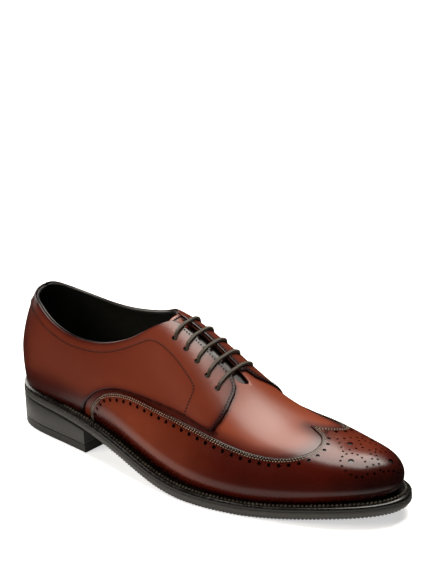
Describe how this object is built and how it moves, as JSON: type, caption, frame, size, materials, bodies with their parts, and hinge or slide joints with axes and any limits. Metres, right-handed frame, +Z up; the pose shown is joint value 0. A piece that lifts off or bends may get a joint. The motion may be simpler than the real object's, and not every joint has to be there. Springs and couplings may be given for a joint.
{
  "type": "derby shoe",
  "caption": "Right-foot brown leather wing-tip derby shoe with open facings, straight lacing, a welted rubber sole and a stacked heel.",
  "frame": {"origin": "on the floor, under the middle of the sole's length and width", "axes": "+X from heel to toe, +Y towards the inner side of the foot, +Z up"},
  "size_m": [0.3094, 0.1034, 0.1039],
  "materials": {
    "outsole": "satin black-brown rubber with a fine tread",
    "welt": "dark dyed leather, stitched",
    "heel_stack": "burnished grey-black stacked leather",
    "heel_top_piece": "matt rubber",
    "insole": "black lining leather",
    "upper": "polished chestnut calf with a black lining",
    "wing_cap": "polished chestnut calf, burnished dark at the toe",
    "quarter_lateral": "polished chestnut calf",
    "quarter_medial": "polished chestnut calf",
    "tongue": "chestnut calf",
    "lace": "round waxed cotton cord"
  },
  "bodies": {
    "root": {"outsole": "outsole", "welt": "welt", "heel_stack": "heel_stack", "heel_top_piece": "heel_top_piece", "insole": "insole", "upper": "upper", "wing_cap": "wing_cap", "quarter_lateral": "quarter_lateral", "quarter_medial": "quarter_medial", "tongue": "tongue", "lace_bar_1": "lace", "lace_bar_2": "lace", "lace_bar_3": "lace", "lace_bar_4": "lace", "lace_bar_5": "lace"}
  },
  "joints": []
}
